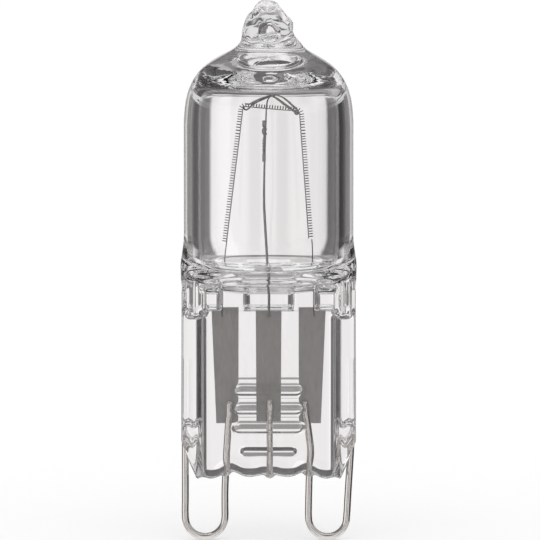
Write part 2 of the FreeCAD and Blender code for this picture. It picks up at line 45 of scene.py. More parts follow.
# Camera: degrees above the lamp, metres away, the photo's side in pixels, and mm to a pixel
CAMERA_PITCH = 7
CAMERA_DISTANCE = 0.6
PHOTO_SIDE = 540
PIXEL = 0.079
AIM_X = 0.11
AIM_Z = 21.57
# Studio: the lit shelf round the tip
SHELF_Z = 36.6
SHELF_R = 30
SHELF_HOLE_R = 9
# Glass: the blown tube, dome and tip
TUBE_R = 6.70
BORE_R = 5.60
DOME_FOOT_Z = 33.4
DOME_SMOOTH_Z = 33.6
TIP_FOOT_Z = 39.6
TIP_TOP_Z = 42.95
BUBBLE_Z = 40.34
SEAM_Z = 22.7
AROUND = 96
# Glass: the cavity, with a crowned floor inside a fine rim and a flat mottled ceiling
FLOOR_Z = 22.30
FLOOR_R = 4.15
FLOOR_CROWN = 0.20
CEILING_R = 1.95
CEILING_Z = 36.90
POLE_R = 0.25
# Glass: the pinched seal
SEAL_HALF = 6.90
RAIL_DEPTH = 2.10
RAIL_TAPER_Z = 20.2
RAIL_TOP_Z = 21.1
SLOPE_RUN = 0.60
GROOVE_X = 5.06
GROOVE_DEPTH = 0.50
WEB_DEPTH = 1.38
WEB_TOP_Z = 18.64
SLOT_DEPTH = 0.62
SLOT_HALF = 2.15
RIB_Z = 9.27
RIB_STEP = 1.50
RIB_HALF_HEIGHT = 0.52
BEYOND = 3.0  # past the seal's front, where a tool's far end stands
VOXEL = 0.11
# Metals: wire radii, and where the wires stand between front (-) and back (+)
LOOP_WIRE_R = 0.275
STUB_WIRE_R = 0.25
STEM_WIRE_R = 0.10
HOOK_WIRE_R = 0.10
SPLICE_WIRE_R = 0.06
COIL_WIRE_R = 0.040
WIRE_PLANE = 0.066
HOOK_PLANE = -0.304
SPLICE_PLANE = -0.30


# Working on a piece

def only(piece):
    """Leaves one piece selected and active, in object mode."""
    if bpy.context.mode != "OBJECT":
        bpy.ops.object.mode_set(mode="OBJECT")
    bpy.ops.object.select_all(action="DESELECT")
    piece.select_set(True)
    bpy.context.view_layer.objects.active = piece


def named(name):
    """Names the piece just made, and its mesh."""
    piece = bpy.context.object
    piece.name = name
    piece.data.name = name
    return piece


def editing(piece, mode="VERT"):
    """Opens a piece in edit mode with nothing selected."""
    only(piece)
    bpy.ops.object.mode_set(mode="EDIT")
    bpy.ops.mesh.select_mode(type=mode)
    bpy.ops.mesh.select_all(action="DESELECT")
    return bmesh.from_edit_mesh(piece.data)


def select_all(piece):
    editing(piece)
    bpy.ops.mesh.select_all(action="SELECT")


def pick(piece, wanted, mode="VERT"):
    """Selects the vertices or edges that a test on their middle chooses."""
    mesh = editing(piece, mode)
    if mode == "VERT":
        items = [(vert, vert.co) for vert in mesh.verts]
    else:
        items = [(edge, (edge.verts[0].co + edge.verts[1].co) / 2) for edge in mesh.edges]
    for item, middle in items:
        item.select_set(wanted(middle))
    mesh.select_flush_mode()
    bmesh.update_edit_mesh(piece.data)


def pick_ring(piece, level):
    """Selects the ring of points at one level."""
    pick(piece, lambda place: abs(place.z - level) < 1e-4)


def apply_modifier(piece, name, kind, **settings):
    only(piece)
    modifier = piece.modifiers.new(name, kind)
    for key, value in settings.items():
        setattr(modifier, key, value)
    bpy.ops.object.modifier_apply(modifier=name)


def apply_place(piece, size=(1, 1, 1)):
    """Scales a piece."""
    only(piece)
    piece.scale = size
    bpy.ops.object.transform_apply(location=True, rotation=True, scale=True)


def merge(pieces, name):
    """Joins pieces into one, without welding them."""
    only(pieces[0])
    for piece in pieces:
        piece.select_set(True)
    bpy.ops.object.join()
    return named(name)


def face_outwards(piece, inwards=False):
    """Merges doubled points and turns the faces outwards, or inwards for a hollow."""
    select_all(piece)
    bpy.ops.mesh.remove_doubles(threshold=1e-5)
    bpy.ops.mesh.normals_make_consistent(inside=inwards)
    bpy.ops.object.mode_set(mode="OBJECT")


def lathe(name, rings):
    """A skin of rings, each extruded from the last: radius, z, side shift and widening in X."""
    # A ring of two numbers has no shift, and one without a fourth isn't widened
    rings = [ring + (0, 1)[len(ring) - 2:] for ring in rings]
    radius, level, shift, width = rings[0]
    bpy.ops.mesh.primitive_circle_add(vertices=AROUND, radius=radius, location=(shift, 0, level))
    piece = named(name)
    apply_place(piece)
    select_all(piece)
    bpy.ops.transform.resize(value=(width, 1, 1), center_override=(shift, 0, level))
    for before, ring in zip(rings, rings[1:]):
        step = (ring[2] - before[2], 0, ring[1] - before[1])
        bpy.ops.mesh.extrude_region_move(TRANSFORM_OT_translate={"value": step})
        share = ring[0] / before[0]
        bpy.ops.transform.resize(value=(share * ring[3] / before[3], share, 1),
                                 center_override=(ring[2], 0, ring[1]))
    return piece


def close_ring(piece, level):
    """Draws the ring of points at one level together into a pole."""
    pick_ring(piece, level)
    bpy.ops.mesh.merge(type="CENTER")


def prism(name, outline, along, start, end):
    """A filled circle whose corners are moved to an outline, extruded along one axis."""
    bpy.ops.mesh.primitive_circle_add(vertices=len(outline), radius=1, fill_type="NGON",
                                      location=(0, 0, 0))
    piece = named(name)
    mesh = editing(piece)
    axis = "XYZ".index(along)
    for vert, corner in zip(mesh.verts, outline):
        vert.co = corner[:axis] + (start,) + corner[axis:]
    bmesh.update_edit_mesh(piece.data)
    bpy.ops.mesh.select_all(action="SELECT")
    step = [0, 0, 0]
    step[axis] = end - start
    bpy.ops.mesh.extrude_region_move(TRANSFORM_OT_translate={"value": step})
    face_outwards(piece)
    return piece


def block(name, low, high):
    """A box between two corners."""
    middle = [(a + b) / 2 for a, b in zip(low, high)]
    bpy.ops.mesh.primitive_cube_add(size=1, location=middle)
    piece = named(name)
    apply_place(piece, [b - a for a, b in zip(low, high)])
    return piece


def blob(name, place, size, segments=24, rings=16):
    """A round or stretched ball, from its half sizes along X, Y and Z."""
    bpy.ops.mesh.primitive_uv_sphere_add(segments=segments, ring_count=rings, radius=1,
                                         location=place)
    piece = named(name)
    apply_place(piece, size)
    return piece


def round_edges(piece, offset, segments):
    """Rounds every edge of a piece."""
    select_all(piece)
    bpy.ops.mesh.bevel(offset=offset, segments=segments)
    bpy.ops.object.mode_set(mode="OBJECT")


def narrow_end(piece, wanted, share, middle):
    """Draws the chosen corners in towards a point, to give a piece sloping sides."""
    pick(piece, wanted)
    bpy.ops.transform.resize(value=share, center_override=middle)
    bpy.ops.object.mode_set(mode="OBJECT")


def score(piece, depth):
    """Adds a ring of edges at a depth in front and one behind."""
    for level in (-depth, depth):
        select_all(piece)
        bpy.ops.mesh.bisect(plane_co=(0, level, 0), plane_no=(0, 1, 0))
    bpy.ops.object.mode_set(mode="OBJECT")


def carve(piece, tool):
    """Takes a tool's shape out of a piece, and the tool away."""
    apply_modifier(piece, "carve", "BOOLEAN", object=tool, operation="DIFFERENCE",
                   solver="EXACT")
    bpy.data.objects.remove(tool, do_unlink=True)


def mirrored_copy(piece, name):
    """The same piece on the other side of the lamp, left for right."""
    only(piece)
    bpy.ops.object.duplicate()
    copy = named(name)
    apply_place(copy, (-1, 1, 1))
    face_outwards(copy)
    return copy


def ripple(piece, stretch, amount, share):
    """Uneven swelling as softened glass has, from a stretched cloud; share gives it by place."""
    only(piece)
    group = piece.vertex_groups.new(name="rippled")
    for vert in piece.data.vertices:
        weight = min(1.0, share(vert.co))
        if weight > 0:
            group.add([vert.index], weight, "REPLACE")
    bpy.ops.object.empty_add(location=(0, 0, 0))
    guide = bpy.context.object
    guide.scale = stretch
    bpy.context.view_layer.update()
    cloud = bpy.data.textures.new("cloud", "CLOUDS")
    cloud.noise_scale = 1.0
    cloud.noise_depth = 0
    apply_modifier(piece, "ripple", "DISPLACE", texture=cloud, texture_coords="OBJECT",
                   texture_coords_object=guide, strength=amount, mid_level=0.5,
                   vertex_group="rippled")
    piece.vertex_groups.clear()
    bpy.data.objects.remove(guide, do_unlink=True)


def run(start, end, steps):
    """Points from start to end, without the start."""
    return [tuple(a + (b - a) * step / steps for a, b in zip(start, end))
            for step in range(1, steps + 1)]


def from_axis(place):
    """How far a place is from the lamp's axis."""
    return math.hypot(place.x, place.y)


def coat(piece, material):
    """Gives a piece one material in place of what it had."""
    piece.data.materials.clear()
    piece.data.materials.append(material)


# Camera

def set_camera():
    """The photo's view: a little from above, through a lens long enough to look flat."""
    pitch = math.radians(CAMERA_PITCH)
    data = bpy.data.cameras.new("camera")
    camera = bpy.data.objects.new("camera", data)
    bpy.context.collection.objects.link(camera)
    data.sensor_width = 36
    data.lens = 36 * CAMERA_DISTANCE / (PHOTO_SIDE * PIXEL * MM)
    data.clip_start = 0.01
    data.clip_end = 20
    back = Vector((0, -math.cos(pitch), math.sin(pitch)))
    camera.location = Vector((AIM_X * MM, 0, AIM_Z * MM)) + back * CAMERA_DISTANCE
    camera.rotation_euler = back.to_track_quat("Z", "Y").to_euler()
    bpy.context.scene.camera = camera


# Shader helpers

class Graph:
    """Short ways to add and join nodes in one tree."""

    def __init__(self, tree):
        self.tree = tree

    def add(self, kind, **settings):
        node = self.tree.nodes.new(kind)
        for key, value in settings.items():
            setattr(node, key, value)
        return node

    def put(self, value, socket):
        """Joins another socket to this one, or sets a number, a grey tone or a vector on it."""
        if isinstance(value, bpy.types.NodeSocket):
            self.tree.links.new(value, socket)
        elif socket.type == "RGBA" and not isinstance(value, tuple):
            socket.default_value = (value, value, value, 1)
        else:
            socket.default_value = value

    def feed(self, node, *values):
        """Puts values into a node's sockets in their order, and gives its first output."""
        for value, socket in zip(values, node.inputs):
            self.put(value, socket)
        return node.outputs[0]

    def maths(self, operation, *values):
        return self.feed(self.add("ShaderNodeMath", operation=operation), *values)

    def vectors(self, operation, *values):
        return self.feed(self.add("ShaderNodeVectorMath", operation=operation), *values)

    def place(self):
        """Where a point lies on its piece, in metres."""
        return self.add("ShaderNodeTexCoord").outputs["Object"]

    def parts(self, vector):
        """The X, Y and Z of a vector."""
        node = self.add("ShaderNodeSeparateXYZ")
        self.put(vector, node.inputs[0])
        return node.outputs

    def noise(self, place, scale, detail):
        node = self.add("ShaderNodeTexNoise")
        for name, value in (("Vector", place), ("Scale", scale), ("Detail", detail)):
            self.put(value, node.inputs[name])
        return node.outputs["Fac"]

    def ramp(self, value, stops, warm=False):
        """Grey by value; warm takes a little green and blue out, most in the dark tones."""
        node = self.add("ShaderNodeValToRGB")
        items = node.color_ramp.elements
        while len(items) < len(stops):
            items.new(0.5)
        for item, (place, tone) in zip(items, stops):
            green, blue = (0.955 + 0.025 * tone, 0.945 + 0.035 * tone) if warm else (1, 1)
            item.position = place
            item.color = (tone, tone * green, tone * blue, 1)
        return self.feed(node, value)

    def blend(self, mask, first, second):
        """The first tone where the mask is 0, and the second where it is 1."""
        node = self.add("ShaderNodeMix", data_type="RGBA")
        for name, value in (("Factor", mask), ("A", first), ("B", second)):
            self.put(value, node.inputs[name])
        return node.outputs["Result"]

    def choose(self, share, first, second):
        """The first shader where the share is 0, and the second where it is 1."""
        return self.feed(self.add("ShaderNodeMixShader"), share, first, second)

    def in_glass_or_metal(self):
        """1 for what is seen through glass or mirrored in metal, and 0 for the plain view."""
        path = self.add("ShaderNodeLightPath")
        return self.maths("MAXIMUM", path.outputs["Is Transmission Ray"],
                          path.outputs["Is Glossy Ray"])

    def show(self, shader, kind="ShaderNodeOutputMaterial"):
        self.put(shader, self.add(kind).inputs["Surface"])


# Studio

# The tone of the surroundings against the turn from straight behind, in degrees. Bright
# sheets stand between dark flags, level with the lamp, below it and above it. The left
# and right sides have their own, except below. Beyond them all is plain paper.
LEFT_TONES = [(0, 0.85), (4, 0.88), (5, 1.0), (7, 0.98), (9, 0.92), (11, 0.88), (13, 0.19),
              (21, 0.22), (25, 0.17), (29, 0.25), (35, 0.20), (38, 0.13), (42, 0.10),
              (50, 0.12), (54, 0.04), (82, 0.05), (85, 0.95), (148, 0.95), (151, 0.12),
              (166, 0.2), (170, 0.9), (180, 0.9)]
RIGHT_TONES = [(0, 0.83), (5, 0.83), (9, 0.87), (11, 0.85), (13, 0.15), (20, 0.20), (25, 0.14),
               (30, 0.16), (34, 0.13), (38, 0.08), (42, 0.05), (60, 0.03), (120, 0.06),
               (123, 0.9), (148, 0.9), (151, 0.12), (166, 0.2), (170, 0.9), (180, 0.9)]
LOW_TONES = [(0, 0.28), (10, 0.32), (14, 0.42), (30, 0.42), (34, 0.92), (58, 0.92), (62, 0.15),
             (78, 0.15), (81, 0.95), (99, 0.95), (102, 0.20), (123, 0.20), (126, 0.95),
             (147, 0.95), (150, 0.3), (165, 0.35), (168, 0.9), (180, 0.9)]
HIGH_LEFT_TONES = [(0, 0.11), (20, 0.09), (26, 0.24), (34, 0.09), (60, 0.12), (80, 0.30),
                   (100, 0.16), (130, 0.10), (142, 0.7), (160, 0.7), (168, 0.15), (180, 0.2)]
HIGH_RIGHT_TONES = [(0, 0.11), (20, 0.10), (26, 0.45), (60, 0.50), (80, 0.60), (100, 0.55),
                    (130, 0.40), (142, 0.7), (160, 0.7), (168, 0.15), (180, 0.2)]
PAPER = 0.95


def studio_world():
    """White to the camera, and the sheets and flags where glass and metal look at it."""
    world = bpy.data.worlds.new("studio")
    bpy.context.scene.world = world
    world.use_nodes = True
    world.node_tree.nodes.clear()
    graph = Graph(world.node_tree)
    x, y, z = graph.parts(graph.add("ShaderNodeTexCoord").outputs["Generated"])
    turn = graph.maths("ARCTAN2", graph.maths("ABSOLUTE", x), y)
    share = graph.maths("DIVIDE", turn, math.pi)
    left, right, low, high_left, high_right = (
        graph.ramp(share, [(angle / 180, tone) for angle, tone in tones], warm=True)
        for tones in (LEFT_TONES, RIGHT_TONES, LOW_TONES, HIGH_LEFT_TONES, HIGH_RIGHT_TONES))
    on_right = graph.maths("GREATER_THAN", x, 0.0)
    high = graph.blend(on_right, high_left, high_right)
    pattern = graph.blend(on_right, left, right)
    pitch = graph.maths("ADD", graph.maths("ARCSINE", z), math.pi / 2)
    height = graph.maths("DIVIDE", pitch, math.pi)
    # Between which degrees of pitch each tone takes over from the level ones
    for fade, tone in (([(12, 0), (14, 1)], high), ([(-17, 1), (-14, 0)], low),
                       ([(-46, 1), (-42, 0)], PAPER), ([(60, 0), (64, 1)], PAPER)):
        mask = graph.ramp(height, [((angle + 90) / 180, value) for angle, value in fade])
        pattern = graph.blend(mask, pattern, tone)
    tone = graph.blend(graph.in_glass_or_metal(), PAPER, pattern)
    path = graph.add("ShaderNodeLightPath")
    shown = graph.blend(path.outputs["Is Camera Ray"], tone, 1.0)
    graph.show(graph.feed(graph.add("ShaderNodeBackground"), shown), "ShaderNodeOutputWorld")


def studio_material(piece):
    """A material for a studio piece, with no nodes in it yet."""
    material = bpy.data.materials.new(piece.name)
    material.use_nodes = True
    material.node_tree.nodes.clear()
    piece.data.materials.append(material)
    return Graph(material.node_tree)


def add_floor():
    """A matt white floor, clear where glass and metal look at it."""
    bpy.ops.mesh.primitive_plane_add(size=6, location=(0, 0, 0))
    floor = named("studio_floor")
    graph = studio_material(floor)
    matt = graph.feed(graph.add("ShaderNodeBsdfDiffuse"), 0.8)
    glow = graph.feed(graph.add("ShaderNodeEmission"), 1, 0.25)
    white = graph.feed(graph.add("ShaderNodeAddShader"), matt, glow)
    clear = graph.add("ShaderNodeBsdfTransparent").outputs[0]
    graph.show(graph.choose(graph.in_glass_or_metal(), white, clear))


def add_tip_shelf():
    """A lit shelf round the lamp, just under its tip and seen only through the glass."""
    middle = (0, 0, SHELF_Z * MM)
    bpy.ops.mesh.primitive_circle_add(vertices=48, radius=SHELF_R * MM, location=middle)
    shelf = named("tip_shelf")
    select_all(shelf)
    bpy.ops.mesh.extrude_region_move()
    hole = SHELF_HOLE_R / SHELF_R
    bpy.ops.transform.resize(value=(hole, hole, 1), center_override=middle)
    bpy.ops.object.mode_set(mode="OBJECT")
    graph = studio_material(shelf)
    shade = graph.noise(graph.place(), 170, 2)
    glow = graph.feed(graph.add("ShaderNodeEmission"),
                      graph.ramp(shade, [(0.41, 0.10), (0.48, 0.74)]))
    clear = graph.add("ShaderNodeBsdfTransparent").outputs[0]
    path = graph.add("ShaderNodeLightPath")
    graph.show(graph.choose(path.outputs["Is Transmission Ray"], clear, glow))


# Materials

def new_group(name, takes, gives):
    """An empty node group: its inputs with their kinds, and the name of its one output."""
    group = bpy.data.node_groups.new(name, "ShaderNodeTree")
    for title, kind in takes:
        group.interface.new_socket(title, in_out="INPUT", socket_type="NodeSocket" + kind)
    group.interface.new_socket(gives, in_out="OUTPUT", socket_type="NodeSocketFloat")
    graph = Graph(group)
    return graph, graph.add("NodeGroupInput").outputs, graph.add("NodeGroupOutput").inputs[0]


def grain_group():
    """Cloudy grain measured in millimetres: its size along X, Y and Z, and how fine it gets."""
    graph, taken, given = new_group("grain_in_mm", [("Size", "Vector"), ("Fineness", "Float")],
                                    "Grain")
    size = graph.vectors("MULTIPLY", taken["Size"], (MM, MM, MM))
    share = graph.vectors("DIVIDE", graph.place(), size)
    graph.put(graph.noise(share, 1, taken["Fineness"]), given)
    return graph.tree


def height_group():
    """A mask by height in millimetres: none below Start, whole above End."""
    graph, taken, given = new_group("mask_by_height", [("Start", "Float"), ("End", "Float")],
                                    "Mask")
    level = graph.maths("MULTIPLY", graph.parts(graph.place())["Z"], 1 / MM)
    span = graph.add("ShaderNodeMapRange", interpolation_type="SMOOTHSTEP")
    graph.put(graph.feed(span, level, taken["Start"], taken["End"]), given)
    return graph.tree


def grain(graph, size, fineness):
    """Grain of a size in millimetres, from 0 to 1."""
    return graph.feed(graph.add("ShaderNodeGroup", node_tree=GRAIN), size, fineness)


def above(graph, start, end):
    """A mask that rises from 0 to 1 between two heights in millimetres."""
    return graph.feed(graph.add("ShaderNodeGroup", node_tree=BY_HEIGHT), start, end)


def spread(graph, value, low, high):
    """Stretches the middle of a grain, from 0.3 to 0.7, to run from low to high."""
    return graph.feed(graph.add("ShaderNodeMapRange"), value, 0.3, 0.7, low, high)


def new_material(name):
    material = bpy.data.materials.new(name)
    material.use_nodes = True
    return material, Graph(material.node_tree), material.node_tree.nodes["Principled BSDF"]


def raise_bumps(graph, surface, height, depth):
    """Bumps of a depth in millimetres from a height that runs from 0 to 1."""
    bump = graph.add("ShaderNodeBump")
    graph.put(depth * MM, bump.inputs["Distance"])
    graph.put(height, bump.inputs["Height"])
    graph.put(bump.outputs["Normal"], surface.inputs["Normal"])


def dome_streaks(graph):
    """Lines that run down the dome from its tip, as drawn glass leaves them."""
    place = graph.place()
    turn = graph.vectors("NORMALIZE", graph.vectors("MULTIPLY", place, (1, 1, 0)))
    round_axis = graph.vectors("MULTIPLY", turn, (5, 5, 5))
    along = graph.vectors("MULTIPLY_ADD", place, (0, 0, 0.3 / MM), round_axis)
    return graph.noise(along, 1, 1)


def quartz():
    """Clear glass: lumps on the tip, streaks down the dome, waves in the pressed seal."""
    material, graph, surface = new_material("clear_quartz")
    graph.put(1, surface.inputs["Base Color"])
    graph.put(1.46, surface.inputs["IOR"])
    graph.put(1, surface.inputs["Transmission Weight"])
    tip, dome = above(graph, 38.9, 40.4), above(graph, 35.8, 37.6)
    seal = graph.maths("SUBTRACT", 1.0, above(graph, 19.0, 24.0))
    # Faint lines drawn along the whole lamp, and then each place's own form and its strength
    height = graph.maths("MULTIPLY", grain(graph, (1.6, 1.6, 12.0), 1.0), 0.05)
    for form, where, strength in ((grain(graph, (0.7, 0.7, 1.4), 1.0), tip, 2.0),
                                  (dome_streaks(graph), dome, 0.45),
                                  (grain(graph, (0.9, 0.9, 1.4), 1.0), seal, 0.30)):
        height = graph.maths("MULTIPLY_ADD", graph.maths("MULTIPLY", form, where), strength,
                             height)
    raise_bumps(graph, surface, height, 0.04)
    graph.put(spread(graph, grain(graph, (1.5, 1.5, 1.5), 3.0), 0.0, 0.012),
              surface.inputs["Roughness"])
    return material


def metal(name, tone, roughness, size, unevenness, depth):
    """Metal whose tone and roughness vary with a grain of a size in millimetres."""
    material, graph, surface = new_material(name)
    graph.put(1, surface.inputs["Metallic"])
    streaks = grain(graph, size, 4.0)
    dark, light = ((level, level * 0.975, level * 0.95, 1)
                   for level in (tone * (1 - unevenness), tone * (1 + unevenness)))
    graph.put(graph.blend(spread(graph, streaks, 0, 1), dark, light),
              surface.inputs["Base Color"])
    graph.put(spread(graph, streaks, roughness * 0.75, roughness * 1.35),
              surface.inputs["Roughness"])
    raise_bumps(graph, surface, streaks, depth)
    return material


# Glass envelope

# Radius and height up the dome, outside and inside, and up the tip with its side shift and
# its widening in X
DOME_OUTSIDE = [(6.68, 34.0), (6.64, 34.5), (6.58, 35.0), (6.49, 35.4), (6.40, 35.75),
                (6.28, 36.1), (6.12, 36.45), (5.92, 36.8), (5.68, 37.15), (5.38, 37.5),
                (5.02, 37.85), (4.56, 38.17), (4.02, 38.48), (3.28, 38.78, 0, 1.04),
                (2.74, 39.0, 0.05, 1.09)]
DOME_INSIDE = [(5.58, 34.2), (5.53, 34.7), (5.45, 35.1), (5.36, 35.4), (5.26, 35.65),
               (5.14, 35.88), (4.98, 36.08), (4.74, 36.26), (4.40, 36.42), (3.90, 36.58),
               (3.30, 36.72), (2.70, 36.82), (2.15, 36.88), (2.05, 36.84), (2.00, 36.84)]
TIP = [(2.34, 39.2, 0.10, 1.16), (2.16, 39.4, 0.13, 1.18), (2.08, 39.62, 0.12, 1.144),
       (2.04, 39.85, 0.06, 1.088), (2.03, 40.15, -0.02, 1.03), (2.02, 40.5, -0.06),
       (1.98, 40.8, -0.05), (1.90, 41.15, -0.05), (1.76, 41.45, -0.06), (1.54, 41.75, -0.12),
       (1.38, 41.95, -0.11), (1.22, 42.12, -0.09), (1.06, 42.32, -0.13), (0.93, 42.5, -0.12),
       (0.80, 42.7, -0.06), (0.60, 42.85, -0.12), (0.36, 42.94, -0.24), (0.16, 42.97, -0.30)]


def flattened_rings(levels):
    """Rings for the lathe, from half depth, height and half width."""
    return [(deep, level, 0, half / deep) for deep, level, half in levels]


def blown_skin():
    """The tube, the dome and the lopsided exhaust tip."""
    # The tube's foot widens a little to both sides, to meet the pressed shoulder
    rings = flattened_rings([(6.67, SEAM_Z + 0.12, 6.875), (6.69, 23.2, 6.815),
                             (6.70, 23.6, 6.76), (6.70, 24.0, 6.72)]) + [(TUBE_R, 24.5)]
    rings += run(rings[-1], (TUBE_R, DOME_FOOT_Z), 20) + DOME_OUTSIDE + TIP
    skin = lathe("blown_skin", rings)
    close_ring(skin, TIP[-1][1])
    pick(skin, lambda place: DOME_SMOOTH_Z < place.z < TIP_FOOT_Z)
    bpy.ops.mesh.vertices_smooth(factor=0.5, repeat=5)
    face_outwards(skin)
    ripple(skin, (0.85, 0.85, 0.8), 0.20,
           lambda place: min((place.z - TIP_FOOT_Z) / 0.8, (TIP_TOP_Z - place.z) * 1.5))
    return skin


def cavity_skin():
    """The gas-filled hollow; its faces point into the gas, which is out of the glass."""
    crown = [(reach, FLOOR_Z + FLOOR_CROWN * (1 - (reach / FLOOR_R) ** 2))
             for reach in (POLE_R + 0.29 * count for count in range(13))]
    foot = [(radius, FLOOR_Z + rise) for radius, rise in
            ((FLOOR_R - 0.16, 0), (FLOOR_R, 0.02), (FLOOR_R + 0.2, 0.05), (FLOOR_R + 0.35, 0.05),
             (4.75, 0), (5.05, -0.10), (5.30, -0.14), (5.46, -0.10), (5.56, 0.02),
             (BORE_R, 0.18), (BORE_R, 0.5))]
    rings = crown + foot + run(foot[-1], (BORE_R, DOME_FOOT_Z), 10) + DOME_INSIDE
    rim = (CEILING_R, CEILING_Z)
    rings += [rim] + run(rim, (POLE_R, CEILING_Z + 0.05), 16)
    skin = lathe("cavity_skin", rings)
    close_ring(skin, rings[0][1])
    close_ring(skin, rings[-1][1])
    pick(skin, lambda place: DOME_SMOOTH_Z < place.z < CEILING_Z - 0.3)
    bpy.ops.mesh.vertices_smooth(factor=0.5, repeat=3)
    # The floor's slow waves, and the ceiling's fine mottling
    ripple(skin, (1.4, 2.2, 1), 0.08,
           lambda place: (3.95 - from_axis(place)) * 1.2 if place.z < 23 else 0)
    ripple(skin, (0.9, 0.9, 1), 0.03,
           lambda place: (CEILING_R - from_axis(place)) * 3 if place.z > 36 else 0)
    face_outwards(skin, inwards=True)
    return skin


def bubble_skin():
    """The pocket of gas left in the tip; it points inwards like the cavity."""
    skin = blob("bubble_skin", (0.05, 0, BUBBLE_Z), (0.672, 0.672, 0.728), 32, 20)
    face_outwards(skin, inwards=True)
    return skin


def shoulder_stub():
    """The tube's foot: pressed flat from front and back, it widens a little to both sides."""
    # Half depth, height and half width
    levels = [(1.50, 19.2, 6.86), (1.55, 19.9, 6.88), (1.75, 20.12, 6.89), (2.15, 20.38, 6.90),
              (2.80, 20.64, 6.92), (3.60, 20.86, 6.935), (4.70, 21.14, 6.95), (5.60, 21.44, 6.97),
              (6.15, 21.72, 6.98), (6.48, 22.05, 6.97), (6.63, 22.45, 6.935), (6.68, 22.9, 6.86),
              (TUBE_R, 23.4, 6.785), (TUBE_R, 24.0, 6.72), (TUBE_R, 24.3, TUBE_R),
              (TUBE_R, 25.6, TUBE_R)]
    stub = lathe("shoulder_stub", flattened_rings(levels))
    for end in (levels[0], levels[-1]):
        pick_ring(stub, end[1])
        bpy.ops.mesh.edge_face_add()
    face_outwards(stub)
    return stub


def seal_rail():
    """One thick rail along the seal's +X edge, with its corner cut off at the foot."""
    outline = [(GROOVE_X, RAIL_TOP_Z), (6.80, RAIL_TOP_Z), (6.86, RAIL_TAPER_Z),
               (6.88, 14.0), (SEAL_HALF, 9.6), (SEAL_HALF, 8.15), (6.3, 6.6), (5.72, 5.22),
               (GROOVE_X, 5.05)]
    rail = prism("rail", outline, "Y", -RAIL_DEPTH, RAIL_DEPTH)
    # Its inner side slopes from the groove out to the face, and its head thins to the shoulder
    score(rail, GROOVE_DEPTH)
    select_all(rail)
    bpy.ops.mesh.bisect(plane_co=(0, 0, RAIL_TAPER_Z), plane_no=(0, 0, 1))
    pick(rail, lambda place: abs(place.y) > RAIL_DEPTH - 0.1 and place.x < GROOVE_X + 0.1)
    bpy.ops.transform.translate(value=(SLOPE_RUN, 0, 0))
    pick(rail, lambda place: place.z > RAIL_TOP_Z - 0.1)
    bpy.ops.transform.resize(value=(1, 0.45, 1), center_override=(0, 0, RAIL_TOP_Z))
    pick(rail, lambda place: abs(place.y) > RAIL_DEPTH - 0.1 and place.x > 6.8, "EDGE")
    bpy.ops.mesh.bevel(offset=0.22, segments=3)
    bpy.ops.object.mode_set(mode="OBJECT")
    heart = [(7.05, 9.45), (6.35, 9.72), (5.90, 9.38), (5.50, 9.66), (5.12, 9.5), (5.22, 8.55),
             (5.62, 8.0), (6.07, 7.45), (6.50, 8.0), (6.90, 8.7)]
    crease = [(6.24, 14.4), (6.44, 14.4), (6.46, 9.95), (6.24, 9.95)]
    for side in (-1, 1):
        facet = prism("heart_facet", heart, "Y", side * (RAIL_DEPTH - 0.42), side * BEYOND)
        narrow_end(facet, lambda place: abs(place.y) < 2, (0.78, 1, 0.78), (5.95, 0, 9.0))
        carve(rail, facet)
        carve(rail, prism("crease", crease, "Y", side * (RAIL_DEPTH - 0.24),
                          side * BEYOND))
    return rail


def seal_web():
    """The thin middle of the seal; its wavy foot is fire-rounded through its whole thickness."""
    foot = [(4.9, 4.97), (4.54, 4.89), (4.1, 5.0), (3.4, 5.38), (2.9, 5.5),
            (2.5, 5.36), (2.0, 5.1), (1.5, 5.03), (1.0, 5.1), (0.5, 5.22)]
    slot = [(-WEB_DEPTH - 0.2, 7.90), (-WEB_DEPTH, 7.72), (-WEB_DEPTH + SLOT_DEPTH, 7.10),
            (-WEB_DEPTH + SLOT_DEPTH, 7.04), (-WEB_DEPTH - 0.2, 6.98)]
    layers = []
    # Ten layers, each thicker than the last and a little higher at its foot
    for count in range(10):
        turn = math.radians(10 * count)
        rise = WEB_DEPTH * (1 - math.cos(turn))
        depth = WEB_DEPTH * math.sin(turn) if count else 0.12
        side = 5.5 if depth < GROOVE_DEPTH else GROOVE_X - 0.04
        half = [(side, 19.6), (side, 5.12 + rise)] + [(x, z + rise) for x, z in foot]
        outline = half + [(-x, z) for x, z in reversed(half)]
        layer = prism("web", outline, "Y", -depth, depth)
        if depth > WEB_DEPTH - SLOT_DEPTH:
            carve(layer, prism("slot", slot, "X", -SLOT_HALF, SLOT_HALF))
        layers.append(layer)
    return layers


def seal_ribs():
    """Three bars with pointed ends across the web: a narrow crest in front, low behind."""
    ribs = []
    for count in range(3):
        level = RIB_Z + RIB_STEP * count
        low, high = level - RIB_HALF_HEIGHT, level + RIB_HALF_HEIGHT
        outline = [(2.45, low), (2.86, level), (2.45, high),
                   (-2.45, high), (-2.86, level), (-2.45, low)]
        rib = prism("rib", outline, "Y", -WEB_DEPTH - 0.45, WEB_DEPTH + 0.12)
        score(rib, WEB_DEPTH - 0.05)
        narrow_end(rib, lambda place: place.y < -WEB_DEPTH - 0.1, (0.93, 1, 0.12),
                   (0, 0, level - 0.30))
        ribs.append(rib)
    return ribs


